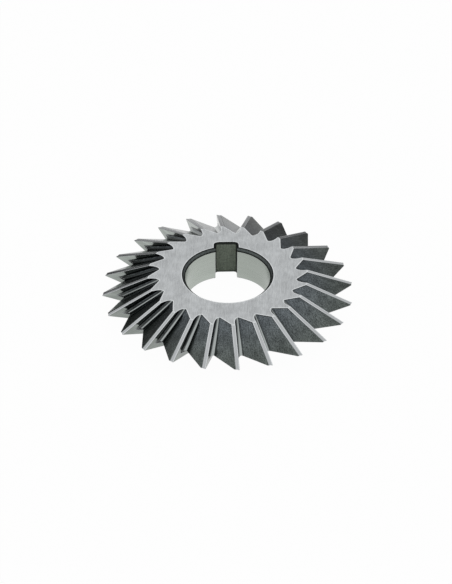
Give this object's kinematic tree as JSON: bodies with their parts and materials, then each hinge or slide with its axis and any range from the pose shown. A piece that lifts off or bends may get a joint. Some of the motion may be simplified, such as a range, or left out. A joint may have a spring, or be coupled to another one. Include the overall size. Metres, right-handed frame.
{
  "type": "double-angle cutter",
  "caption": "Disc-shaped milling cutter whose rim tapers to a V set with straight teeth, with a chamfered bore and a keyway for an arbor; it cuts V-grooves and angled faces.",
  "frame": {"origin": "centre of the bore in the plane of the lower hub face", "axes": "+Z along the bore, +Y towards the keyway; seen from +Z the teeth cut counter-clockwise"},
  "size_m": [0.0798, 0.0798, 0.012],
  "materials": {
    "tool_steel": "hardened tool steel, ground bright on the hub faces, bore, lands and rake faces, dark as hardened on the tooth backs, gullets, chamfers and keyway"
  },
  "bodies": {
    "root": {"cutter_body": "tool_steel"}
  },
  "joints": []
}
